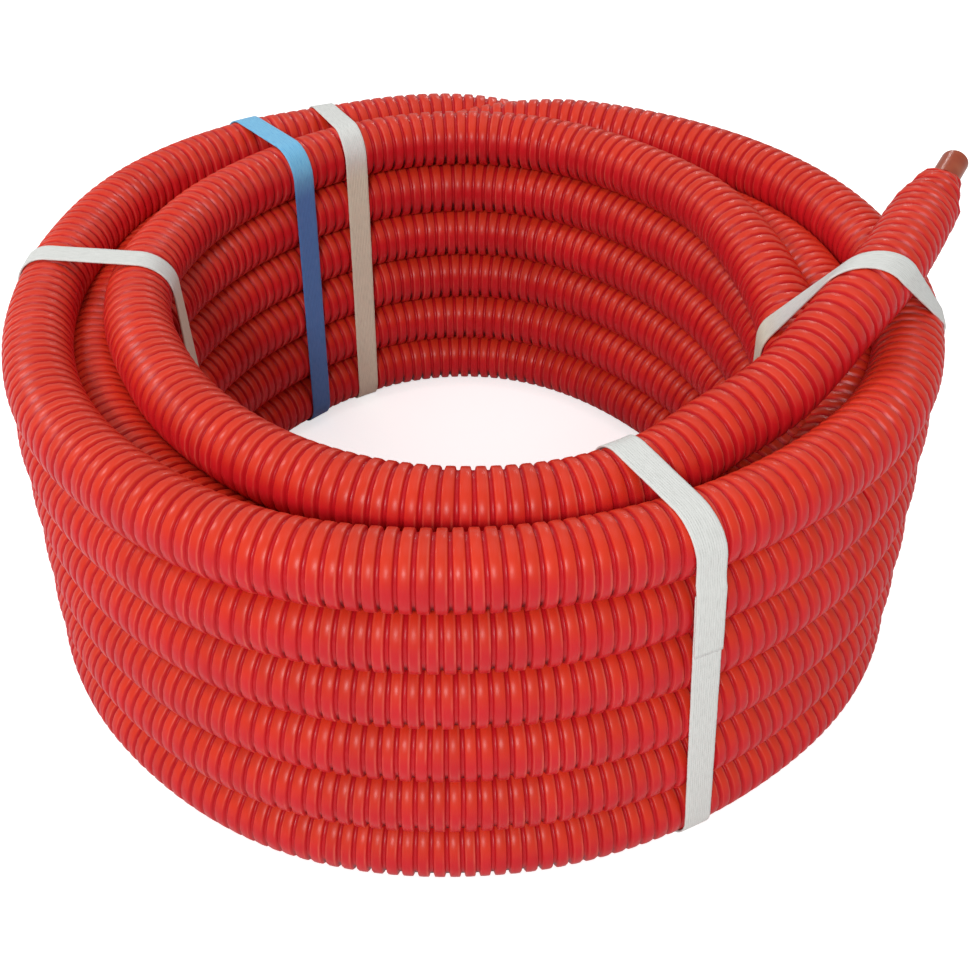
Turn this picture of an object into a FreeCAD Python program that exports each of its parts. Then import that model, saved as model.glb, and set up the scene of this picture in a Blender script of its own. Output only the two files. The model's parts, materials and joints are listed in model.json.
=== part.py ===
import FreeCAD, Part
import math
import os

# Coil of pre-sheathed PEX pipe, lying flat. Millimetres, +Z up along the coil's axis, floor at z = 0.

# Pipe and sheath
sheath_diameter = 28.0
pipe_diameter = 12.0
pipe_wall = 1.1
pipe_seat_clearance = 0.3

# Winding
eye_diameter = 272.0
turns_high = 6
layer_gap = 4.0
turn_nesting = 0.7

# Straps round the coil's section
strap_width = 12.0
strap_thickness = 0.8
strap_clearance = 0.3
plain_strap_angles = {
    "strap_left": 177.5,
    "strap_blue": 127.0,
    "strap_back": 113.5,
    "strap_front": -66.5,
}

# Free end: it leaves the innermost top turn, climbs over the other layers and ends past the coil's rim
free_end_start_angle = -62.0
free_end_bury = 4.0
free_end_lift = 2.0
free_end_corners = [
    # angle round the coil, layer steps out from the inner layer's centre line, share of the climb
    (-49.0, -0.03, 0.13),
    (-37.0, 0.16, 0.42),
    (-25.0, 0.56, 0.71),
    (-13.5, 1.22, 0.89),
    (-2.5, 2.28, 1.0),
]
free_end_last_run = 55.0
free_end_last_turn = 57.5
free_end_last_rise = 9.0
bend_share = 0.45
bare_length = 18.0
seated_length = 12.0

# The right-hand strap also holds the free end down
right_strap_angle = -10.5

# Worked out from the sizes above
turn_radius = sheath_diameter / 2
layer_step = (sheath_diameter + layer_gap) / 2
turn_pitch = sheath_diameter - turn_nesting
inner_layer_radius = eye_diameter / 2 + turn_radius
middle_layer_radius = inner_layer_radius + layer_step
outer_layer_radius = middle_layer_radius + layer_step
coil_bottom = strap_clearance + strap_thickness
lowest_turn = coil_bottom + turn_radius
highest_turn = lowest_turn + (turns_high - 1) * turn_pitch
middle_layer_sink = math.sqrt(turn_pitch ** 2 - layer_step ** 2)


def outer_crossing(first, second):
    """Point where two equal turn circles cross, on the right of the way from first to second."""
    across = second - first
    half = across.Length / 2
    reach = math.sqrt(turn_radius ** 2 - half ** 2)
    sideways = FreeCAD.Vector(across.z, 0, -across.x).normalize()
    return first + across / 2 + sideways * reach


def section_wire():
    """Outline of the wound section in the X-Z plane, one arc for each turn that shows."""
    heights = [lowest_turn + row * turn_pitch for row in range(turns_high)]
    outer = [FreeCAD.Vector(outer_layer_radius, 0, height) for height in heights]
    inner = [FreeCAD.Vector(inner_layer_radius, 0, height) for height in reversed(heights)]
    middle_top = FreeCAD.Vector(middle_layer_radius, 0, highest_turn - middle_layer_sink)
    middle_bottom = FreeCAD.Vector(middle_layer_radius, 0, lowest_turn + middle_layer_sink)
    turns = outer + [middle_top] + inner + [middle_bottom]
    edges = []
    for index, centre in enumerate(turns):
        start = outer_crossing(turns[index - 1], centre)
        end = outer_crossing(centre, turns[(index + 1) % len(turns)])
        begin_angle = math.atan2(start.z - centre.z, start.x - centre.x)
        end_angle = math.atan2(end.z - centre.z, end.x - centre.x)
        if end_angle < begin_angle:
            end_angle += 2 * math.pi
        halfway = (begin_angle + end_angle) / 2
        crest = centre + FreeCAD.Vector(math.cos(halfway), 0, math.sin(halfway)) * turn_radius
        edges.append(Part.Arc(start, crest, end).toShape())
    return Part.Wire(edges)


def wound_turns():
    """All the turns as one turned solid round the coil's axis."""
    section = Part.Face(section_wire())
    return section.revolve(FreeCAD.Vector(0, 0, 0), FreeCAD.Vector(0, 0, 1), 360)


def on_coil(angle, radius, height):
    turn = math.radians(angle)
    return FreeCAD.Vector(radius * math.cos(turn), radius * math.sin(turn), height)


def free_end_points():
    """Corners of the free end's centre line, from the innermost top turn to the pipe's mouth."""
    points = [on_coil(free_end_start_angle, inner_layer_radius, highest_turn - free_end_bury)]
    climb = sheath_diameter + free_end_lift
    for angle, steps_out, climb_share in free_end_corners:
        radius = inner_layer_radius + steps_out * layer_step
        points.append(on_coil(angle, radius, highest_turn + climb_share * climb))
    heading = math.radians(free_end_last_turn)
    last_run = FreeCAD.Vector(math.cos(heading), math.sin(heading), 0) * free_end_last_run
    points.append(points[-1] + last_run + FreeCAD.Vector(0, 0, free_end_last_rise))
    return points


def rounded_path(points):
    """Straight runs joined by tangent arcs, each as large as its two runs allow."""
    edges = []
    radii = []
    here = points[0]
    for before, corner, after in zip(points, points[1:], points[2:]):
        arriving = (corner - before).normalize()
        leaving = (after - corner).normalize()
        trim = bend_share * min((corner - before).Length, (after - corner).Length)
        half_turn = arriving.getAngle(leaving) / 2
        radius = trim / math.tan(half_turn)
        arc_start = corner - arriving * trim
        arc_end = corner + leaving * trim
        inwards = (leaving - arriving).normalize()
        middle = corner + inwards * (radius / math.cos(half_turn) - radius)
        edges.append(Part.LineSegment(here, arc_start).toShape())
        edges.append(Part.Arc(arc_start, middle, arc_end).toShape())
        radii.append(radius)
        here = arc_end
    edges.append(Part.LineSegment(here, points[-1]).toShape())
    return Part.Wire(edges), radii


def tube_along(points, radius):
    path, radii = rounded_path(points)
    start = path.Edges[0]
    heading = start.tangentAt(start.FirstParameter)
    profile = Part.Wire(Part.makeCircle(radius, points[0], heading))
    tube = path.makePipeShell([profile], True, True)
    print("free end radii", [round(value, 1) for value in radii])
    print("tube volume over section times length", tube.Volume / (math.pi * radius ** 2 * path.Length))
    return tube, path


def belt(circles):
    """Closed wire round (centre, radius) circles in convex order: a straight span from each arc to the next."""
    count = len(circles)
    normals = []
    for index, (centre, radius) in enumerate(circles):
        following, following_radius = circles[(index + 1) % count]
        span = following - centre
        lean = (radius - following_radius) / span.Length
        span.normalize()
        sideways = FreeCAD.Vector(span.z, 0, -span.x)
        normals.append(span * lean + sideways * math.sqrt(1 - lean ** 2))
    edges = []
    for index, (centre, radius) in enumerate(circles):
        arriving = normals[index - 1]
        leaving = normals[index]
        crest = (arriving + leaving).normalize()
        arc = Part.Arc(centre + arriving * radius, centre + crest * radius, centre + leaving * radius)
        following, following_radius = circles[(index + 1) % count]
        span = Part.LineSegment(centre + leaving * radius, following + leaving * following_radius)
        edges.append(arc.toShape())
        edges.append(span.toShape())
    return Part.Wire(edges)


def band(first_circles, last_circles):
    """Strap from one edge belt to the other, each standing half a width from the X-Z plane."""
    skins = []
    for growth in (strap_clearance + strap_thickness, strap_clearance):
        edge_belts = []
        for circles, side in ((first_circles, -1), (last_circles, 1)):
            edge_belt = belt([(centre, radius + growth) for centre, radius in circles])
            edge_belt.translate(FreeCAD.Vector(0, side * strap_width / 2, 0))
            edge_belts.append(edge_belt)
        skins.append(Part.makeLoft(edge_belts, True, True))
    return skins[0].cut(skins[1]).Solids[0]


def corner_turns():
    """The section's four corner turns, anticlockwise from the bottom of the outer layer."""
    return [
        (FreeCAD.Vector(outer_layer_radius, 0, lowest_turn), turn_radius),
        (FreeCAD.Vector(outer_layer_radius, 0, highest_turn), turn_radius),
        (FreeCAD.Vector(inner_layer_radius, 0, highest_turn), turn_radius),
        (FreeCAD.Vector(inner_layer_radius, 0, lowest_turn), turn_radius),
    ]


def plain_strap(angle):
    return turned(band(corner_turns(), corner_turns()), angle)


def turned(shape, angle):
    shape.rotate(FreeCAD.Vector(0, 0, 0), FreeCAD.Vector(0, 0, 1), angle)
    return shape


def strap_over_free_end(path, angle):
    """Strap that also goes over the free end, which crosses it aslant."""
    local_path = turned(path.copy(), -angle)
    edge_circles = []
    for side in (-1, 1):
        plane = Part.Plane(FreeCAD.Vector(0, side * strap_width / 2, 0), FreeCAD.Vector(0, 1, 0))
        crossing, along = path_crossing(local_path, plane)
        circles = corner_turns()
        circles.insert(2, (FreeCAD.Vector(crossing.x, 0, crossing.z), turn_radius / abs(along.y)))
        edge_circles.append(circles)
    return turned(band(*edge_circles), angle)


def path_crossing(path, plane):
    """Where the path goes through the plane, and its direction there."""
    for edge in path.Edges:
        points = edge.Curve.intersect(plane)[0]
        for point in points:
            spot = FreeCAD.Vector(point.X, point.Y, point.Z)
            parameter = edge.Curve.parameter(spot)
            if edge.FirstParameter <= parameter <= edge.LastParameter:
                return spot, edge.tangentAt(parameter)
    raise ValueError("the free end does not reach the strap")


def rod(radius, base, heading, length):
    return Part.makeCylinder(radius, length, base, heading)


os.makedirs("parts", exist_ok=True)

route = free_end_points()
mouth = route[-1]
outward = (mouth - route[-2]).normalize()
sheath_end = mouth - outward * bare_length
pipe_start = sheath_end - outward * seated_length
pipe_radius = pipe_diameter / 2

free_sheath, free_path = tube_along(route[:-1] + [sheath_end], turn_radius)
seat = rod(pipe_radius, pipe_start - outward * pipe_seat_clearance, outward, seated_length + bare_length)
sheath = wound_turns().fuse(free_sheath).cut(seat)
sheath.Solids[0].exportStep("parts/corrugated_sheath.step")

bare_stretch = rod(pipe_radius, sheath_end, outward, bare_length)
seated_stretch = rod(pipe_radius - pipe_seat_clearance, pipe_start, outward, seated_length)
bore = rod(pipe_radius - pipe_wall, pipe_start, outward, seated_length + bare_length)
pex_pipe = bare_stretch.fuse(seated_stretch).cut(bore)
pex_pipe.exportStep("parts/pex_pipe.step")

straps = {name: plain_strap(angle) for name, angle in plain_strap_angles.items()}
straps["strap_right"] = strap_over_free_end(free_path, right_strap_angle)
for name, strap in straps.items():
    strap.exportStep("parts/" + name + ".step")

pieces = {"corrugated_sheath": sheath, "pex_pipe": pex_pipe, **straps}
for name, piece in pieces.items():
    box = piece.BoundBox
    corners = [round(value, 2) for value in (box.XMin, box.YMin, box.ZMin, box.XMax, box.YMax, box.ZMax)]
    print(name, "solids", len(piece.Solids), "valid", piece.isValid(), "volume", round(piece.Volume), corners)
print("pipe mouth", mouth, "outward", outward)
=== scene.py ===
import json
import math

import bpy
import numpy as np
from mathutils import Matrix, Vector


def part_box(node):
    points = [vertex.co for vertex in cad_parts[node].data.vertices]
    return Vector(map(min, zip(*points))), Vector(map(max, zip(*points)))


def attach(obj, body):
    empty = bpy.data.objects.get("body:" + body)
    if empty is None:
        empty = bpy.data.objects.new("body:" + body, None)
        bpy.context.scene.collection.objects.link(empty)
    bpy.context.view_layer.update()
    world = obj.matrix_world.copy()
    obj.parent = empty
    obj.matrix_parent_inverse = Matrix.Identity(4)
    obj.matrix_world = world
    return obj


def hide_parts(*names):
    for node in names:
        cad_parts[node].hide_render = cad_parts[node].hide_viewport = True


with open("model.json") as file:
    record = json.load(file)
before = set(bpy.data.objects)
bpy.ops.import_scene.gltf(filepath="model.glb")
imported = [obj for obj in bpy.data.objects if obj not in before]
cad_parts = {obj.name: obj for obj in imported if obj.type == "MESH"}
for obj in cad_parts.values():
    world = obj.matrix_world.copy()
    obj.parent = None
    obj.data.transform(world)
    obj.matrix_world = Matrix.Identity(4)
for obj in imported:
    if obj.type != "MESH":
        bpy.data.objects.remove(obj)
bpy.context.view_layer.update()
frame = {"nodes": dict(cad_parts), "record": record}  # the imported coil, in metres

print("stage: frame loaded")


def smooth(x):
    # 0 below 0, 1 above 1 and 3x^2 - 2x^3 between
    x = np.clip(x, 0.0, 1.0)
    return x * x * (3.0 - 2.0 * x)


def mix(a, b, share):
    # a at share 0, b at share 1 and a straight line between
    return a + (b - a) * share


def hump(azimuth, centre, halfWidth):
    # one raised cosine: 1 at the centre, 0 at halfWidth degrees from it and beyond, the same on every turn
    away = np.abs((azimuth - centre + 180.0) % 360.0 - 180.0)
    return np.where(away < halfWidth, 0.5 + 0.5 * np.cos(np.pi * away / halfWidth), 0.0)


def bulges(azimuth, places):
    # the humps (azimuth, half width, height in metres) added up
    return sum(height * hump(azimuth, centre, halfWidth) for centre, halfWidth, height in places)


def wander(azimuth, seed, size):
    # three slow sines with no common period, so that no two turns lie alike
    t = np.radians(azimuth)
    waves = ((1.0, 0.83, 1.0), (0.7, 1.61, 2.1), (0.5, 3.37, 4.3))  # each: height, pace, times the seed
    return size * sum(height * np.sin(pace * t + times * seed) for height, pace, times in waves)


def curveThrough(knots, values, at):
    # cubic spline: its second derivatives at the knots solve a three-band system and are 0 at both ends
    n = len(knots)
    gap = np.diff(knots)
    band = np.eye(n)
    row = np.arange(1, n - 1)
    band[row, row - 1] = gap[:-1]
    band[row, row] = 2.0 * (gap[:-1] + gap[1:])
    band[row, row + 1] = gap[1:]
    right = np.zeros(n)
    right[1:-1] = 6.0 * np.diff(np.diff(values) / gap)
    bend = np.linalg.solve(band, right)
    i = np.clip(np.searchsorted(knots, at) - 1, 0, n - 2)
    before, after, g = knots[i + 1] - at, at - knots[i], gap[i]
    return ((bend[i] * before ** 3 + bend[i + 1] * after ** 3) / (6.0 * g)
            + (values[i] / g - bend[i] * g / 6.0) * before
            + (values[i + 1] / g - bend[i + 1] * g / 6.0) * after)


def polar(radius, azimuth, height):
    # the point at a radius, an azimuth in degrees and a height
    t = np.radians(azimuth)
    return np.stack([radius * np.cos(t), radius * np.sin(t), height], axis=-1)


def unit(v):
    # each vector divided by its own length
    return v / np.linalg.norm(v, axis=-1, keepdims=True)


def gridFaces(rings, sides):
    # quads of a rings x sides grid that closes on itself across its sides
    i = np.arange(rings - 1)[:, None] * sides
    j = np.arange(sides)[None, :]
    k = (j + 1) % sides
    return np.stack([i + j, i + k, i + sides + k, i + sides + j], axis=-1).reshape(-1, 4)


def meshObject(name, points, quads, triangles, uv=None, values=None):
    # one mesh from whole arrays; uv holds a pair for each point, and values one number for each point
    mesh = bpy.data.meshes.new(name)
    loops = np.concatenate([quads.ravel(), triangles.ravel()]).astype(np.int32)
    mesh.vertices.add(len(points))
    mesh.vertices.foreach_set("co", points.astype(np.float32).ravel())
    mesh.loops.add(len(loops))
    mesh.loops.foreach_set("vertex_index", loops)
    starts = np.concatenate([np.arange(len(quads)) * 4, len(quads) * 4 + np.arange(len(triangles)) * 3])
    mesh.polygons.add(len(starts))
    mesh.polygons.foreach_set("loop_start", starts.astype(np.int32))
    mesh.polygons.foreach_set("use_smooth", np.ones(len(starts), bool))
    mesh.update(calc_edges=True)
    mesh.validate()
    if uv is not None:
        layer = mesh.uv_layers.new(name="UVMap")
        layer.data.foreach_set("uv", uv[loops].astype(np.float32).ravel())
    for key, array in (values or {}).items():
        store = mesh.attributes.new(key, "FLOAT", "POINT")
        store.data.foreach_set("value", array.astype(np.float32))
    piece = bpy.data.objects.new(name, mesh)
    bpy.context.scene.collection.objects.link(piece)
    return piece


def closedTube(name, rings, uv=None, values=None):
    # rings is a (count, sides, 3) array; fans to the middles of the first and the last ring close the ends
    count, sides = rings.shape[:2]
    points = rings.reshape(-1, 3)
    total = len(points)
    j = np.arange(sides)
    k = (j + 1) % sides
    first = np.stack([k, j, np.full(sides, total)], axis=-1)
    last = np.stack([(count - 1) * sides + j, (count - 1) * sides + k, np.full(sides, total + 1)], axis=-1)
    points = np.concatenate([points, rings[0].mean(0)[None], rings[-1].mean(0)[None]])
    if uv is not None:
        uv = np.concatenate([uv, uv[:1], uv[-1:]])
    values = {key: np.concatenate([v, v[:1], v[-1:]]) for key, v in (values or {}).items()}
    return meshObject(name, points, gridFaces(count, sides), np.concatenate([first, last]), uv, values)


coil = {
    "tubeRadius": 0.014,
    "nesting": 0.0007,  # how far two turns press into each other's grooves
    "rowPitch": 0.0273,
    "rows": 6,
    "layerStep": 0.032,  # from the inner layer's centre line to the outer one's
    "innerSteps": (40.0, -70.0),  # azimuths between which each inner turn drops a row
    "outerSteps": (107.0, 46.0),
    "riseOut": (126.0, 70.0),  # where the sunk turn comes out to the outer layer
    "riseUp": (129.0, 66.0),
    "sunkStart": (100.0, 60.0),  # where the sunk turn comes up from between the layers
    # bulges: (azimuth, half width, metres out), of a layer's every turn or of its top turn alone
    "innerColumn": ((88, 50, 0.007), (22, 75, -0.011), (162, 62, -0.007)),
    "innerTop": ((0, 45, -0.005), (-152, 62, -0.011), (183, 30, 0.003)),
    "outerColumn": ((25, 50, 0.005), (142, 32, 0.004), (-172, 40, -0.003), (-112, 26, 0.0026),
                    (-62, 34, -0.0022), (-20, 34, 0.003)),
    "outerSag": ((105, 24, -0.0034),),  # down, on the top turn alone
    "sunkSag": ((22, 48, -0.004),),
    "crossing": (82.0, 46.0, 0.013),  # the outer turns swing out round the rising turn
    "crossingStart": -500.0,  # they begin to here,
    "crossingEase": 60.0,  # fully after this many degrees,
    "crossingFade": 0.62,  # and by this much of it on each turn further down
    "unevenness": 0.00035,
    "flatter": 0.6,  # the waves in height, as a share of those in radius
    "innerSeeds": (1.3, 2.2),  # of the waves in radius and in height
    "outerSeeds": (3.1, 0.4),
    "outerStart": 100.0,  # where the outer winding starts, and where it ends so many turns on
    "outerEnd": 112.0,
    "sampleStep": 0.15,  # degrees between the points of a line
    "spare": 5.0,  # degrees that a strap may look past the end of a line
}
sheathLow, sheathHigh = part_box("corrugated_sheath")
outerRadius = sheathHigh.y - coil["tubeRadius"]
innerRadius = outerRadius - coil["layerStep"]
topRow = sheathLow.z + coil["tubeRadius"] + (coil["rows"] - 1) * coil["rowPitch"]
touch = 2.0 * coil["tubeRadius"] - coil["nesting"]


def rowsDropped(azimuth, steps, turns):
    # azimuth falls by 360 a turn; each pass between the two steps drops the line one row
    start, end = steps
    return sum(smooth((start - 360.0 * k - azimuth) / (start - end)) for k in turns)


def uneven(azimuth, radius, height, seeds):
    # slow waves added to both, smaller ones to the height
    radiusSeed, heightSeed = seeds
    size = coil["unevenness"]
    radius = radius + wander(azimuth, radiusSeed, size)
    return radius, height + wander(azimuth, heightSeed, coil["flatter"] * size)


def innerLayer(azimuth):
    # radius and height of the inner turns: a circle with bulges, one row lower after each pass of the steps
    dropped = rowsDropped(azimuth, coil["innerSteps"], range(1, coil["rows"]))
    top = 1.0 - smooth(dropped)
    radius = innerRadius + bulges(azimuth, coil["innerColumn"]) + top * bulges(azimuth, coil["innerTop"])
    return uneven(azimuth, radius, topRow - coil["rowPitch"] * dropped, coil["innerSeeds"])


def outerLayer(azimuth):
    # radius and height of the outer turns; the swing at the crossing weakens from row to row
    dropped = rowsDropped(azimuth, coil["outerSteps"], range(2, coil["rows"] + 1))
    centre, halfWidth, swing = coil["crossing"]
    turnsOn = np.clip((centre - 360.0 - halfWidth - azimuth) / 360.0, 0.0, None)
    begun = smooth((coil["crossingStart"] - azimuth) / coil["crossingEase"])
    swing = swing * begun * coil["crossingFade"] ** np.clip(turnsOn - 0.5, 0.0, None).round()
    radius = outerRadius + bulges(azimuth, coil["outerColumn"]) + swing * hump(azimuth, centre, halfWidth)
    height = topRow - coil["rowPitch"] * dropped + (1.0 - smooth(dropped)) * bulges(azimuth, coil["outerSag"])
    return uneven(azimuth, radius, height, coil["outerSeeds"])


def sunkTurn(azimuth):
    # the turn that lies in the groove between the two top turns: halfway between them, and as far down as
    # makes it touch both; it starts a row lower, between the layers
    inside = innerRadius + bulges(azimuth, coil["innerColumn"]) + bulges(azimuth, coil["innerTop"])
    outside = outerRadius + bulges(azimuth, coil["outerColumn"])
    half = 0.5 * (outside - inside)
    drop = np.sqrt(np.maximum(touch ** 2 - half ** 2, 0.0))
    start, end = coil["sunkStart"]
    begun = smooth((start - azimuth) / (start - end))
    return inside + half, topRow - drop - coil["rowPitch"] * (1.0 - begun) + bulges(azimuth, coil["sunkSag"])


def outerWinding(azimuth):
    # the sunk turn for a whole turn and then, past the rise, the outer layer
    sunkOut, sunkUp = sunkTurn(azimuth)
    out, up = outerLayer(azimuth)
    startOut, endOut = coil["riseOut"]
    startUp, endUp = coil["riseUp"]
    radius = mix(sunkOut, out, smooth((startOut - 360.0 - azimuth) / (startOut - endOut)))
    height = mix(sunkUp, up, smooth((startUp - 360.0 - azimuth) / (startUp - endUp)))
    return radius, height


freeEnd = {
    "leaves": -85.0,  # the azimuth where it leaves the coil
    "leadIn": (30.0, 15.0, 0.0),  # degrees before that, where its spline still follows the coil
    # azimuth, millimetres out from the inner layer and millimetres up from the top row
    "route": ((-70, -1.0, 0.6), (-60, -3.5, 2.2), (-51, -4.5, 5.5), (-42, -0.5, 9.8), (-32, 4.0, 16.5),
              (-24, 9.5, 22.5), (-12, 23.0, 28.0), (-2, 37.5, 31.0)),
    "straight": 0.014,  # of the sheath in line with the pipe, behind its end
    "hiddenEnd": 26.0,  # where the lowest inner turn stops, behind the free end
    "seatGap": 0.0002,  # round the pipe
    "lip": 0.0008,  # the step from the seat to the sheath's mouth
}
mounts = {mount["name"]: mount for mount in frame["record"]["mounts"]}
pipe = mounts["pipe_outside"]
pipeAxis = unit(np.array(pipe["axis"], float))
pipeRadius = pipe["dims"]["r_mm"] / 1000.0
bareLength = pipe["dims"]["length_mm"] / 1000.0
sheathEnd = np.array(pipe["pos_m"], float) - pipeAxis * bareLength / 2.0


def innerWinding():
    # the free end's spline in azimuth, radius and height, and after it the inner layer
    lastPoints = np.stack([sheathEnd - pipeAxis * freeEnd["straight"], sheathEnd])
    lastAzimuths = np.degrees(np.arctan2(lastPoints[:, 1], lastPoints[:, 0]))
    route = np.array(freeEnd["route"], float)
    leave = freeEnd["leaves"]
    onCoil = leave - np.array(freeEnd["leadIn"])
    coilRadius, coilHeight = innerLayer(onCoil)
    knots = np.concatenate([onCoil, route[:, 0], lastAzimuths])
    radii = np.concatenate([coilRadius, innerRadius + route[:, 1] / 1000.0, np.hypot(*lastPoints[:, :2].T)])
    heights = np.concatenate([coilHeight, topRow + route[:, 2] / 1000.0, lastPoints[:, 2]])
    last = freeEnd["hiddenEnd"] - 360.0 * coil["rows"]
    azimuth = np.arange(lastAzimuths[-1], last, -coil["sampleStep"])
    radius, height = innerLayer(azimuth)
    free = azimuth > leave
    radius[free] = curveThrough(knots, radii, azimuth[free])
    height[free] = curveThrough(knots, heights, azimuth[free])
    return azimuth, radius, height


outerLast = coil["outerEnd"] - 360.0 * (coil["rows"] + 1)
outerAzimuths = np.arange(coil["outerStart"], outerLast, -coil["sampleStep"])
outerLine = (outerAzimuths, *outerWinding(outerAzimuths))
innerLine = innerWinding()


def tubesAt(azimuth):
    # every stretch of sheath at each azimuth: radius, height and how both grow along it, on every turn that
    # there may be; a stretch that isn't there is put at the middle of the pack, where it pushes nothing out
    absent = (innerRadius + 0.5 * coil["layerStep"], 0.5 * topRow, 0.0, 0.0)
    found = []
    for along, radius, height in (innerLine, outerLine):
        travel = np.radians(np.gradient(along)) * radius
        columns = (radius, height, np.gradient(radius) / travel, np.gradient(height) / travel)
        passes = azimuth[:, None] + 360.0 * np.arange(-coil["rows"] - 2, 2)
        here = (passes > along[-1] - coil["spare"]) & (passes < along[0] + coil["spare"])
        found.append(np.stack([np.where(here, np.interp(passes, along[::-1], values[::-1]), elsewhere)
                               for values, elsewhere in zip(columns, absent)], axis=-1))
    return np.concatenate(found, axis=1)


sheath = {
    "ribPitch": 0.00584,
    "pitchSwing": 0.06,  # the ribs lie closer at the front and wider at the back
    "grooveDepth": 0.0014,
    "sides": 20,
    # one rib from groove to groove: (share of the pitch, share of the groove's depth)
    "ribShape": ((0.0, 0.9), (0.04, 1.0), (0.18, 1.0), (0.22, 0.9), (0.275, 0.14), (0.33, 0.0), (0.61, -0.05),
                 (0.89, 0.0), (0.945, 0.14)),
    "rim": (0.0, 0.0, 0.0, 0.0, 0.5, 1.0, 0.0, 0.8, 0.4),  # the crown's two edges, where the painted highlight goes, for each of those
    "toneSeed": 11,  # of each rib's own tone
    "lean": 0.00022,  # of a rib, back and forth
    "leanPace": (0.9, 0.13),  # radians a rib: how fast the lean swings, and how fast it turns round the tube
    "turnsAPiece": 3.0,
    # the crumpled end: (distance from the end, radius), in millimetres
    "endRadii": ((0, 7.0), (1.5, 8.3), (4, 9.8), (8, 10.9), (13, 11.9), (19, 12.8), (26, 13.6), (34, 14.0)),
    "crumple": 0.0006,
    "crumpleLength": 0.045,
    # waves round the crumpled end: (height, lobes, radians of twist a metre, phase)
    "folds": ((1.0, 3, 190.0, 0.0), (1.0, 2, -310.0, 1.0), (0.8, 5, 620.0, 0.0)),
    "endPitch": 0.78,  # of the usual pitch, at the very end
    "endPitchLength": 0.05,
}


def ribbedRings(line, crumpledEnd):
    # centre line sampled by rib: the ribs passed are the integral of arc length over the pitch, and each rib
    # takes the shape's shares; every sample carries a circle in the plane across the line
    azimuth, radius, height = line
    path = polar(radius, azimuth, height)
    step = np.linalg.norm(np.diff(path, axis=0), axis=1)
    length = np.concatenate([[0.0], np.cumsum(step)])
    pitch = sheath["ribPitch"] * (1.0 + sheath["pitchSwing"] * np.sin(np.radians(azimuth)))
    if crumpledEnd:
        pitch = pitch * mix(sheath["endPitch"], 1.0, smooth(length / sheath["endPitchLength"]))
    passed = np.concatenate([[0.0], np.cumsum(step / (0.5 * (pitch[1:] + pitch[:-1])))])
    shape = np.array(sheath["ribShape"])
    ribs = int(passed[-1]) - 1
    at = (np.arange(ribs)[:, None] + shape[None, :, 0]).ravel()
    depth = np.tile(shape[:, 1], ribs)
    ribTone = np.repeat(np.random.default_rng(sheath["toneSeed"]).uniform(0.0, 1.0, ribs), len(shape))
    where = np.interp(at, passed, length)
    centre = np.stack([np.interp(where, length, path[:, i]) for i in range(3)], axis=-1)
    along = np.gradient(path, axis=0)
    along = unit(np.stack([np.interp(where, length, along[:, i]) for i in range(3)], axis=-1))
    across = unit(np.cross(along, (0.0, 0.0, 1.0)))
    above = np.cross(across, along)
    turn = 2.0 * np.pi * np.arange(sheath["sides"]) / sheath["sides"]
    full = np.full(len(at), coil["tubeRadius"])
    rough = np.zeros((len(at), sheath["sides"]))
    if crumpledEnd:
        far, wide = np.array(sheath["endRadii"]).T / 1000.0
        full = np.interp(where, far, wide)
        near = 1.0 - smooth(where / sheath["crumpleLength"])
        rough = sheath["crumple"] * near[:, None] * sum(
            height * np.sin(lobes * turn[None, :] + twist * where[:, None] + phase)
            for height, lobes, twist, phase in sheath["folds"])
    groove = sheath["grooveDepth"] * depth
    reach = full[:, None] - groove[:, None] + rough
    # each rib leans a little, by a slow wave along the line
    swingPace, roundPace = sheath["leanPace"]
    lean = sheath["lean"] * np.sin(at * swingPace)[:, None] * np.cos(turn + roundPace * at[:, None])
    circle = (np.cos(turn)[None, :, None] * across[:, None, :]
              + np.sin(turn)[None, :, None] * above[:, None, :])
    rings = centre[:, None, :] + reach[..., None] * circle + lean[..., None] * along[:, None, :]
    crown = 1.0 - np.clip(depth, 0.0, 1.0)
    rim = np.tile(sheath["rim"], ribs)
    return rings, {"crown": crown, "rim": rim, "ribTone": ribTone}


def sheathPieces(name, line, crumpledEnd, material):
    # the rings cut into pieces of a few turns at grooves, each closed at its ends; they run backwards round
    # the tube, so they are turned over for the faces to point outwards
    rings, marks = ribbedRings(line, crumpledEnd)
    perRib = len(sheath["ribShape"])
    turns = (line[0][0] - line[0][-1]) / 360.0
    count = math.ceil(turns / sheath["turnsAPiece"])
    ribs = len(rings) // perRib
    cuts = [round(ribs * i / count) * perRib for i in range(count + 1)]
    made = []
    for i in range(count):
        part = slice(cuts[i], min(cuts[i + 1] + 1, len(rings)))
        band = rings[part]
        sides = band.shape[1]
        values = {key: mark[part] for key, mark in marks.items()}
        if crumpledEnd and i == 0:
            seat = seatRings(sides)
            band = np.concatenate([seat, band])
            values = {key: np.concatenate([np.zeros(len(seat)), mark]) for key, mark in values.items()}
        values = {key: np.repeat(mark, sides) for key, mark in values.items()}
        piece = closedTube(f"{name}{i + 1}", band[:, ::-1], values=values)
        piece.data.materials.append(material)
        made.append(piece)
    return made


def seatRings(sides):
    # the round seat that the pipe sits in: from its floor out to the lip at the sheath's end
    turn = 2.0 * np.pi * np.arange(sides) / sides
    across = unit(np.cross(-pipeAxis, (0.0, 0.0, 1.0)))
    above = np.cross(across, -pipeAxis)
    circle = np.cos(turn)[:, None] * across + np.sin(turn)[:, None] * above
    clear = pipeRadius + freeEnd["seatGap"]
    depths = np.array([freeEnd["straight"], 0.0, 0.0])
    wide = np.array([clear, clear, clear + freeEnd["lip"]])
    return (sheathEnd - depths[:, None] * pipeAxis)[:, None, :] + wide[:, None, None] * circle


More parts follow.
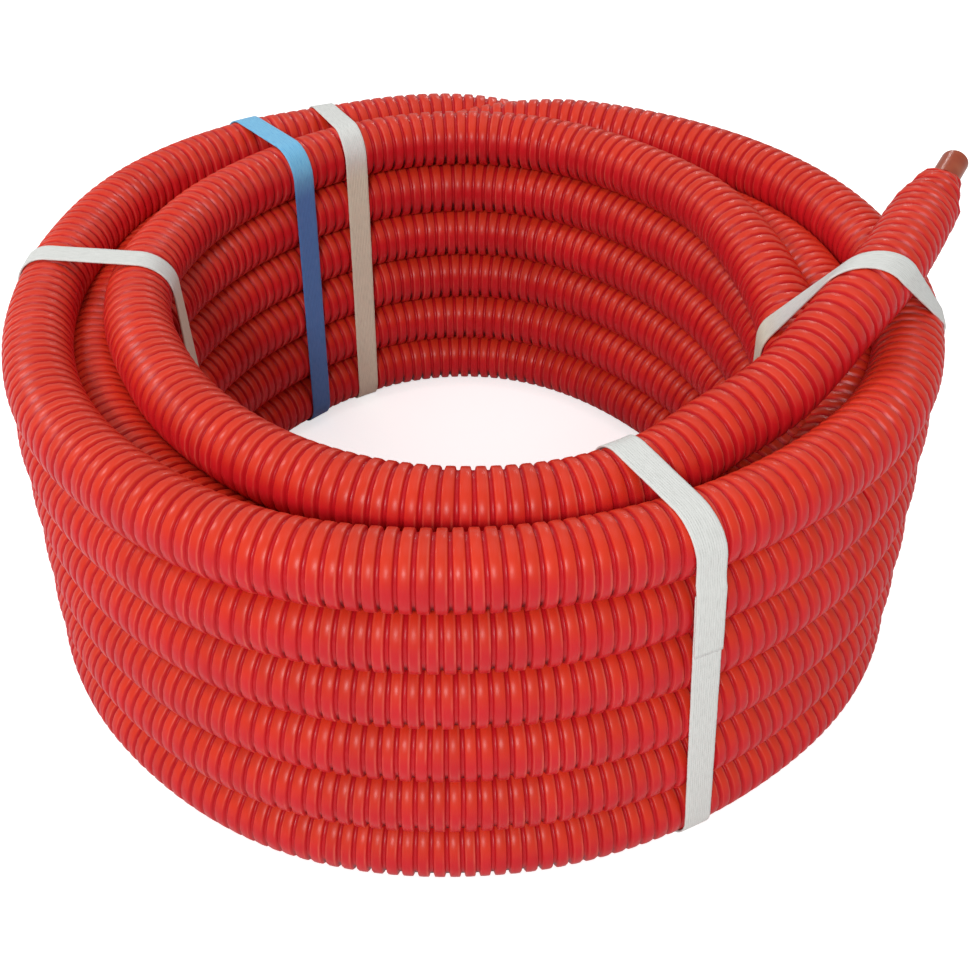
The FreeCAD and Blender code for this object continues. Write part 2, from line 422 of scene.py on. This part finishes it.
strap = {
    "width": 0.012,
    "thickness": 0.0008,
    "clearance": 0.0003,
    "overlap": 0.030,  # of the two welded ends
    "lapGap": 0.0001,  # between them
    "lapRise": 0.006,  # the length over which the upper end climbs onto the lower one
    "weldReach": 0.02,  # from an end to the far edge of its pressed patch
    "step": 0.002,  # along the band
    "columns": 13,  # points across a face
    "edge": 0.00025,  # the outermost of them to the band's rounded edge
    "cordDepth": 0.00005,  # every second point lies this much lower
    "fray": (0.012, 2100.0, 730.0),  # share of the half width, and the paces of its two waves
    "directionStep": 0.5,  # degrees between the directions that the tight loop is worked out in
    "passes": 12,
    "pull": 0.6,  # of the way to its aim that the band moves in a pass
    "settled": 0.05,  # degrees
    "crestRise": 0.03,  # the height over the top row at which "crest" is full
    "paintedShadeDepth": 0.008,  # the painted shade inside the eye grows from its edge inwards over this,
    "paintedShadeFall": 0.02,  # and from the top of the eye down over this
}
# azimuth at the middle, and the degrees gained: "out" from the inner to the outer side, "down" from top to
# bottom, "inside" the same on the inner side alone and "crest" over the free end; "weld" is where the ends
# meet, as a share of the way round from the bottom of the inner side
straps = {
    "strap_left": {"azimuth": 179.0, "out": -3.0, "down": 0.0, "inside": -15.0, "crest": 0.0, "weld": 0.70},
    "strap_blue": {"azimuth": 127.0, "out": 0.0, "down": 0.0, "inside": 0.0, "crest": 0.0, "weld": 0.72},
    "strap_back": {"azimuth": 113.5, "out": 0.0, "down": 0.0, "inside": 0.0, "crest": 0.0, "weld": 0.69},
    "strap_right": {"azimuth": -11.5, "out": 3.5, "down": 0.0, "inside": 0.0, "crest": -6.8, "weld": 0.20},
    "strap_front": {"azimuth": -67.4, "out": 2.0, "down": 3.7, "inside": 0.0, "crest": 0.0, "weld": 0.66},
}


def strapAzimuth(setting, r, z):
    # the middle azimuth and the four gains, each times its share between 0 and 1 (or -1/2 and 1/2 for "out")
    outShare = (r - r.min()) / np.ptp(r) - 0.5
    downShare = (z.max() - z) / np.ptp(z)
    return (setting["azimuth"] + setting["out"] * outShare + setting["down"] * downShare
            + setting["inside"] * downShare * (0.5 - outShare)
            + setting["crest"] * smooth((z - topRow) / strap["crestRise"]))


def tautLoops(setting):
    # the lines of the band's two edges and of its middle. In every direction the middle takes the point of
    # the furthest tube, which is the tight loop round all of them, and the edges take the same tube's. A
    # tube that crosses the band's plane at slope s is cut as an ellipse, whose furthest point toward n is
    # the radius times n + s(s.n), over the root of 1 + (s.n)^2. The tubes are taken at the azimuth that the
    # band has there, found by going over it a few times; the few directions that never settle, between one
    # tube and the next, are left out.
    look = np.radians(np.arange(270.0, -90.0 - strap["directionStep"], -strap["directionStep"]))
    toward = np.stack([np.cos(look), np.sin(look)], axis=-1)
    spare = strap["clearance"] + strap["thickness"] / 2.0

    def surfaces(azimuth):
        tubes = tubesAt(azimuth)
        slopes = tubes[..., 2:]
        stretched = toward[:, None] + slopes * (slopes * toward[:, None]).sum(-1, keepdims=True)
        reach = np.sqrt((stretched * toward[:, None]).sum(-1, keepdims=True))
        return tubes[..., :2] + coil["tubeRadius"] * stretched / reach + spare * toward[:, None]

    rows = np.arange(len(look))
    middle = np.full(len(look), float(setting["azimuth"]))
    for _ in range(strap["passes"]):
        points = surfaces(middle)
        furthest = np.argmax((points * toward[:, None]).sum(-1), axis=1)
        r, z = points[rows, furthest].T
        aim = strapAzimuth(setting, r, z)
        settled = np.abs(aim - middle) < strap["settled"]
        middle = mix(middle, aim, strap["pull"])
    loops = []
    for aside in (-0.5 * strap["width"], 0.0, 0.5 * strap["width"]):
        azimuth = middle + np.degrees(aside / r)
        edgeR, edgeZ = surfaces(azimuth)[rows, furthest].T
        loops.append(polar(edgeR, azimuth, np.maximum(edgeZ, strap["thickness"] / 2.0))[settled])
    length = np.concatenate([[0.0], np.cumsum(np.linalg.norm(np.diff(loops[1], axis=0), axis=1))])
    return loops, length


def strapBand(name, setting, material):
    # a flat section carried once round the taut loop and a little further, where it lies on its own start;
    # across the band each point is a quadratic through the loops of its two edges and of its middle
    half = strap["width"] / 2.0
    loops, length = tautLoops(setting)
    around = length[-1]
    start = setting["weld"] * around
    where = np.arange(start, start + around + strap["overlap"], strap["step"])

    def onLoop(loop, distance):
        return np.stack([np.interp(distance % around, length, loop[:, i]) for i in range(3)], axis=-1)

    low, middle, high = (onLoop(loop, where) for loop in loops)
    ahead = 0.5 * strap["step"]
    tangent = unit(onLoop(loops[1], where + ahead) - onLoop(loops[1], where - ahead))
    normal = unit(np.cross(tangent, high - low))
    rise = strap["lapRise"]
    lift = (strap["thickness"] + strap["lapGap"]) * smooth((where - start - around + rise) / rise)
    # section: across the outer face, round the edge, back across the inner face, round the other edge
    face = np.linspace(-1.0, 1.0, strap["columns"]) * (1.0 - strap["edge"] / half)
    across = np.concatenate([face, [1.0], -face, [-1.0]])
    thick = strap["thickness"] / 2.0
    ribbed = thick - strap["cordDepth"] * (np.arange(strap["columns"]) % 2)
    depth = np.concatenate([ribbed, [0.0], -np.full(strap["columns"], thick), [0.0]])
    frayed, fast, slow = strap["fray"]
    wider = 1.0 + frayed * np.sin(where * fast) * np.sin(where * slow + 1.0)
    x = (across[None, :] * wider[:, None])[..., None]
    rings = (0.5 * x * (x - 1.0) * low[:, None] + (1.0 - x * x) * middle[:, None]
             + 0.5 * x * (x + 1.0) * high[:, None]
             + (depth[None, :] + lift[:, None])[..., None] * normal[:, None])
    uv = np.stack([np.broadcast_to(across[None, :] * 0.5 + 0.5, rings.shape[:2]),
                   np.broadcast_to(where[:, None] / strap["width"], rings.shape[:2])], axis=-1)
    # how near a point is to the welded end, for the pressed patch there, and how far inside the eye it is,
    # for the painted shade and bounce light there
    patch = strap["weldReach"]
    weld = smooth(1.0 - np.abs(where - start - around) / patch) + smooth(1.0 - np.abs(where - start) / patch)
    weld = np.clip(weld, 0.0, 1.0)
    reach = np.hypot(middle[:, 0], middle[:, 1])
    deep = strap["paintedShadeDepth"]
    inside = (smooth((innerRadius - reach) / deep)
              * smooth((topRow + deep - middle[:, 2]) / strap["paintedShadeFall"]))
    sides = rings.shape[1]
    piece = closedTube(name, rings[:, ::-1], uv=uv[:, ::-1].reshape(-1, 2),
                       values={"weld": np.repeat(weld, sides), "inside": np.repeat(inside, sides)})
    piece.data.materials.append(material)
    return piece


def newMaterial(name, roughness, specular):
    material = bpy.data.materials.new(name)
    material.use_nodes = True
    nodes, links = material.node_tree.nodes, material.node_tree.links
    shader = nodes["Principled BSDF"]
    shader.inputs["Roughness"].default_value = roughness
    shader.inputs["Specular IOR Level"].default_value = specular
    return material, nodes, links, shader


def mathNode(nodes, links, operation, *values):
    node = nodes.new("ShaderNodeMath")
    node.operation = operation
    for socket, value in zip(node.inputs, values):
        if isinstance(value, float):
            socket.default_value = value
        else:
            links.new(value, socket)
    return node.outputs[0]


def colourMix(nodes, links, factor, first, second, blend="MIX"):
    node = nodes.new("ShaderNodeMix")
    node.data_type = "RGBA"
    node.blend_type = blend
    sockets = [s for s in node.inputs if s.type == "RGBA"]
    for socket, value in ((node.inputs[0], factor), (sockets[0], first), (sockets[1], second)):
        if isinstance(value, float):
            socket.default_value = value
        elif isinstance(value, tuple):
            socket.default_value = (*value, 1.0)
        else:
            links.new(value, socket)
    return next(s for s in node.outputs if s.type == "RGBA")


def ramp(nodes, links, value, low, high):
    # smooth step of a value between low and high
    node = nodes.new("ShaderNodeMapRange")
    node.interpolation_type = "SMOOTHSTEP"
    node.inputs["From Min"].default_value = low
    node.inputs["From Max"].default_value = high
    links.new(value, node.inputs["Value"])
    return node.outputs["Result"]


def noise(nodes, links, scale, detail, vector=None):
    node = nodes.new("ShaderNodeTexNoise")
    node.inputs["Scale"].default_value = scale
    node.inputs["Detail"].default_value = detail
    if vector is None:
        vector = nodes.new("ShaderNodeTexCoord").outputs["Object"]
    links.new(vector, node.inputs["Vector"])
    return node.outputs["Fac"]


def attribute(nodes, name):
    node = nodes.new("ShaderNodeAttribute")
    node.attribute_name = name
    return node.outputs["Fac"]


def bump(nodes, links, shader, height, strength, distance):
    node = nodes.new("ShaderNodeBump")
    node.inputs["Strength"].default_value = strength
    node.inputs["Distance"].default_value = distance
    links.new(height, node.inputs["Height"])
    links.new(node.outputs["Normal"], shader.inputs["Normal"])


redPlastic = {
    "crown": (0.69, 0.037, 0.013),  # ribs that face up: painted light, paler and more orange as if lit from above
    # the flanks, darker than the crowns that face up: painted shade
    "side": (0.61, 0.011, 0.017),
    # grooves darker than the flanks: painted shade
    "groove": (0.54, 0.009, 0.015),
    "creaseShade": (0.04, 0.003, 0.006),  # painted shade: near black where grooves face down onto the next turn
    # painted highlight along the crowns' edges
    "rim": (0.74, 0.12, 0.08),
    "facesUp": (0.1, 0.7),  # from which to which upward part of the normal
    "facesDown": (-0.15, -0.6),
    "crownDepth": (0.1, 0.9),
    "rimEdge": (0.5, 1.0),
    "rimScale": 75.0,  # scales are in noise cells a metre
    "rimPatches": (0.35, 0.75),
    "rimStrength": 0.75,
    "toneScale": 42.0,
    "darkest": 0.90,
    "toneSwing": 0.10,
    "roughness": 0.34,
    "roughScale": 160.0,
    "roughSwing": 0.16,
    "specular": 0.25,
    "grainScale": 520.0,
    "grainStrength": 0.12,
    "grainHeight": 0.0004,
}


def sheathMaterial():
    # colour by the rib's height and by which way it faces, which paints light and shade: paler and more
    # orange on crowns that face up, darker in the grooves and near black where they face down; a painted
    # highlight along the ribs' edges, times a slow cloud and each rib's own tone
    material, nodes, links, shader = newMaterial("redSheath", redPlastic["roughness"], redPlastic["specular"])
    crown = attribute(nodes, "crown")
    tone = attribute(nodes, "ribTone")
    normal = nodes.new("ShaderNodeNewGeometry").outputs["Normal"]
    split = nodes.new("ShaderNodeSeparateXYZ")
    links.new(normal, split.inputs[0])
    paintedLightUp = ramp(nodes, links, split.outputs["Z"], *redPlastic["facesUp"])
    paintedShadeDown = ramp(nodes, links, split.outputs["Z"], *redPlastic["facesDown"])
    # painted light and shade: crowns that face up are paler and more orange than the flanks, as if lit from
    # above
    body = colourMix(nodes, links, paintedLightUp, redPlastic["side"], redPlastic["crown"])
    # painted shade: grooves darker than the flanks, near black where they face down onto the next turn
    groove = colourMix(nodes, links, paintedShadeDown, redPlastic["groove"], redPlastic["creaseShade"])
    body = colourMix(nodes, links, ramp(nodes, links, crown, *redPlastic["crownDepth"]), groove, body)
    # painted highlight: the crowns' edges are paler, in patches
    edge = ramp(nodes, links, attribute(nodes, "rim"), *redPlastic["rimEdge"])
    patches = ramp(nodes, links, noise(nodes, links, redPlastic["rimScale"], 2.0), *redPlastic["rimPatches"])
    paintedHighlight = mathNode(nodes, links, "MULTIPLY", mathNode(nodes, links, "MULTIPLY", edge, patches),
                     redPlastic["rimStrength"])
    body = colourMix(nodes, links, paintedHighlight, body, redPlastic["rim"])
    cloud = noise(nodes, links, redPlastic["toneScale"], 3.0)
    shade = mathNode(nodes, links, "MULTIPLY_ADD", mathNode(nodes, links, "ADD", cloud, tone),
                     redPlastic["toneSwing"], redPlastic["darkest"])
    grey = nodes.new("ShaderNodeCombineColor")
    for socket in grey.inputs[:3]:
        links.new(shade, socket)
    body = colourMix(nodes, links, 1.0, body, grey.outputs[0], "MULTIPLY")
    links.new(body, shader.inputs["Base Color"])
    rough = mathNode(nodes, links, "MULTIPLY_ADD", noise(nodes, links, redPlastic["roughScale"], 2.0),
                     redPlastic["roughSwing"], redPlastic["roughness"] - 0.5 * redPlastic["roughSwing"])
    links.new(rough, shader.inputs["Roughness"])
    bump(nodes, links, shader, noise(nodes, links, redPlastic["grainScale"], 3.0),
         redPlastic["grainStrength"], redPlastic["grainHeight"])
    return material


pexPlastic = {
    "colour": (0.34, 0.047, 0.013),
    "dusty": (0.41, 0.085, 0.030),
    "dustScale": 90.0,
    "dustRange": (0.4, 0.75),
    "roughness": 0.3,
    "specular": 0.4,
    "grainScale": 700.0,
    "grainStrength": 0.08,
    "grainHeight": 0.0003,
}


def pexMaterial():
    # a plain colour, with dusty patches where the noise is high
    finish = (pexPlastic["roughness"], pexPlastic["specular"])
    material, nodes, links, shader = newMaterial("pexPlastic", *finish)
    cloud = noise(nodes, links, pexPlastic["dustScale"], 4.0)
    dust = ramp(nodes, links, cloud, *pexPlastic["dustRange"])
    links.new(colourMix(nodes, links, dust, pexPlastic["colour"], pexPlastic["dusty"]),
              shader.inputs["Base Color"])
    bump(nodes, links, shader, noise(nodes, links, pexPlastic["grainScale"], 2.0),
         pexPlastic["grainStrength"], pexPlastic["grainHeight"])
    return material


weave = {
    "cords": 13.0,  # across the strap
    "picks": 9.0,  # crossing threads in a length equal to the strap's width
    # each finish: the cords, the gaps between them and what both are multiplied by inside the eye, as painted
    # shade and bounce light
    "white": ((0.76, 0.77, 0.74), (0.60, 0.61, 0.58), (1.0, 0.93, 0.76)),
    "blue": ((0.20, 0.55, 0.82), (0.11, 0.39, 0.70), (0.44, 0.40, 0.64)),
    "crossed": 0.45,  # share of the picks in the woven height
    "threadStretch": (40.0, 2.5, 1.0),  # noise drawn out along the strap
    "wovenTone": 0.08,
    "toneRange": (0.2, 0.62),
    "pressed": 0.7,  # how much of the weave a weld flattens
    "roughness": 0.62,
    "specular": 0.3,
    "sheen": (0.15, 0.5),  # weight and roughness
    "bump": (0.3, 0.00012),  # strength and height
}


def strapMaterial(name, finish):
    # cords run along the strap as a sine across it, and finer picks cross them on alternate cords
    colour, shade, inside = weave[finish]
    material, nodes, links, shader = newMaterial(name, weave["roughness"], weave["specular"])
    sheen, sheenRoughness = weave["sheen"]
    shader.inputs["Sheen Weight"].default_value = sheen
    shader.inputs["Sheen Roughness"].default_value = sheenRoughness
    uv = nodes.new("ShaderNodeTexCoord").outputs["UV"]
    split = nodes.new("ShaderNodeSeparateXYZ")
    links.new(uv, split.inputs[0])
    cord, pick = (
        mathNode(nodes, links, "SINE", mathNode(nodes, links, "MULTIPLY", split.outputs[axis],
                                                2.0 * math.pi * weave[threads]))
        for axis, threads in (("X", "cords"), ("Y", "picks")))
    crossed = mathNode(nodes, links, "MULTIPLY", mathNode(nodes, links, "MULTIPLY", cord, pick),
                       weave["crossed"])
    woven = mathNode(nodes, links, "ADD", cord, crossed)
    stretched = nodes.new("ShaderNodeMapping")
    stretched.inputs["Scale"].default_value = weave["threadStretch"]
    links.new(uv, stretched.inputs["Vector"])
    thread = noise(nodes, links, 1.0, 3.0, stretched.outputs[0])
    faint = mathNode(nodes, links, "MULTIPLY", woven, weave["wovenTone"])
    tone = mathNode(nodes, links, "ADD", faint, thread)
    cloth = colourMix(nodes, links, ramp(nodes, links, tone, *weave["toneRange"]), shade, colour)
    # painted shade and bounce light inside the eye
    shadedInside = colourMix(nodes, links, attribute(nodes, "inside"), cloth, inside, "MULTIPLY")
    links.new(shadedInside, shader.inputs["Base Color"])
    pressed = mathNode(nodes, links, "MULTIPLY", attribute(nodes, "weld"), weave["pressed"])
    left = mathNode(nodes, links, "SUBTRACT", 1.0, pressed)
    bump(nodes, links, shader, mathNode(nodes, links, "MULTIPLY", woven, left), *weave["bump"])
    return material


materials = {
    "red_sheath": sheathMaterial(),
    "pex": pexMaterial(),
    "white_strap": strapMaterial("whiteStrap", "white"),
    "blue_strap": strapMaterial("blueStrap", "blue"),
}
print("stage: materials made")


def place(piece, node):
    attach(piece, "root")
    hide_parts(node)


for piece in (sheathPieces("sheathInnerTurns", innerLine, True, materials["red_sheath"])
              + sheathPieces("sheathOuterTurns", outerLine, False, materials["red_sheath"])):
    place(piece, "corrugated_sheath")
    print("stage:", piece.name, len(piece.data.polygons), "faces")

for node, setting in straps.items():
    name = "strapBand" + node.split("_")[1].capitalize()
    slot = "blue_strap" if node == "strap_blue" else "white_strap"
    place(strapBand(name, setting, materials[slot]), node)
print("stage: straps made")

pipeNode = frame["nodes"]["pex_pipe"]
pipeNode.data.materials.clear()
pipeNode.data.materials.append(materials["pex"])
print("stage: pipe finished")

studio = {
    "floorSize": 14.0,
    "floorColour": (0.88, 0.88, 0.88),
    "floorRoughness": 0.9,
    "floorGlow": 0.64,  # added for the camera only, so that the lit floor reads white
    "world": 0.46,  # strength on the object; the camera sees 1
    "aim": (0.0, 0.0, 0.08),
    "key": {"place": (-0.30, -1.55, 1.12), "size": 0.45, "power": 14.5},
    "top": {"place": (0.1, 0.25, 1.7), "size": 1.4, "power": 4.0},
    # two small lamps low enough to glance off the ribs
    "left": {"place": (-1.25, 0.20, 1.15), "size": 0.22, "power": 6.0},
    "back": {"place": (0.35, 1.60, 1.05), "size": 0.22, "power": 2.2},
}


def cameraOnly(nodes):
    # 1 for what the camera sees directly, 0 for the light that falls on the object
    return nodes.new("ShaderNodeLightPath").outputs["Is Camera Ray"]


def makeFloor():
    half = studio["floorSize"] / 2.0
    corners = np.array([(-half, -half, 0.0), (half, -half, 0.0), (half, half, 0.0), (-half, half, 0.0)])
    floor = meshObject("floor", corners, np.array([[0, 1, 2, 3]]), np.zeros((0, 3), int))
    material, nodes, links, shader = newMaterial("paleFloor", studio["floorRoughness"], 0.0)
    shader.inputs["Base Color"].default_value = (*studio["floorColour"], 1.0)
    shader.inputs["Emission Color"].default_value = (1.0, 1.0, 1.0, 1.0)
    glow = mathNode(nodes, links, "MULTIPLY", cameraOnly(nodes), studio["floorGlow"])
    links.new(glow, shader.inputs["Emission Strength"])
    floor.data.materials.append(material)


def makeWorld():
    world = bpy.data.worlds.new("studioWorld")
    bpy.context.scene.world = world
    world.use_nodes = True
    nodes, links = world.node_tree.nodes, world.node_tree.links
    strength = mathNode(nodes, links, "MULTIPLY", cameraOnly(nodes), 1.0 - studio["world"])
    strength = mathNode(nodes, links, "ADD", strength, studio["world"])
    nodes["Background"].inputs["Color"].default_value = (1.0, 1.0, 1.0, 1.0)
    links.new(strength, nodes["Background"].inputs["Strength"])


def standAt(holder, side, up, back, spot):
    # the object's matrix has its three axes and its place as columns
    axes = np.stack([side, up, back], axis=-1)
    rows = [(*row, offset) for row, offset in zip(axes, spot)]
    holder.matrix_world = Matrix(rows + [(0.0, 0.0, 0.0, 1.0)])


def makeLamp(name, setting):
    # a disc that looks at the aim; its turn about that line doesn't matter
    lamp = bpy.data.lights.new(name, "AREA")
    lamp.shape = "DISK"
    lamp.size = setting["size"]
    lamp.energy = setting["power"]
    holder = bpy.data.objects.new(name, lamp)
    bpy.context.scene.collection.objects.link(holder)
    back = unit(np.array(setting["place"]) - np.array(studio["aim"]))
    side = unit(np.cross((0.0, 1.0, 0.2), back))
    standAt(holder, side, np.cross(back, side), back, setting["place"])


viewpoint = {
    "place": (-0.00196, -0.49552, 0.4386),
    "down": 35.55,  # degrees below level
    "turn": -0.115,
    "roll": -0.427,
    "lens": 48.745,  # this and the sensor's width are in millimetres
    "sensor": 36.0,
    "shift": (0.0268, -0.0759),
    "nearest": 0.01,
}


def makeCamera():
    # looks along +Y turned by "turn", tipped down and then rolled about its own line
    down, turn, roll = (math.radians(viewpoint[key]) for key in ("down", "turn", "roll"))
    forward = np.array((math.sin(turn) * math.cos(down), math.cos(turn) * math.cos(down), -math.sin(down)))
    level = np.array((math.cos(turn), -math.sin(turn), 0.0))
    above = np.cross(level, forward)
    side = math.cos(roll) * level + math.sin(roll) * above
    up = math.cos(roll) * above - math.sin(roll) * level
    lens = bpy.data.cameras.new("camera")
    lens.sensor_fit = "HORIZONTAL"
    lens.sensor_width = viewpoint["sensor"]
    lens.lens = viewpoint["lens"]
    lens.shift_x, lens.shift_y = viewpoint["shift"]
    lens.clip_start = viewpoint["nearest"]
    camera = bpy.data.objects.new("camera", lens)
    bpy.context.scene.collection.objects.link(camera)
    standAt(camera, side, up, -forward, viewpoint["place"])
    bpy.context.scene.camera = camera


makeFloor()
makeWorld()
for lampName in ("key", "top", "left", "back"):
    makeLamp(lampName + "Lamp", studio[lampName])
makeCamera()
bpy.context.scene.view_settings.view_transform = "Standard"
print("stage: studio ready")

bpy.context.view_layer.update()
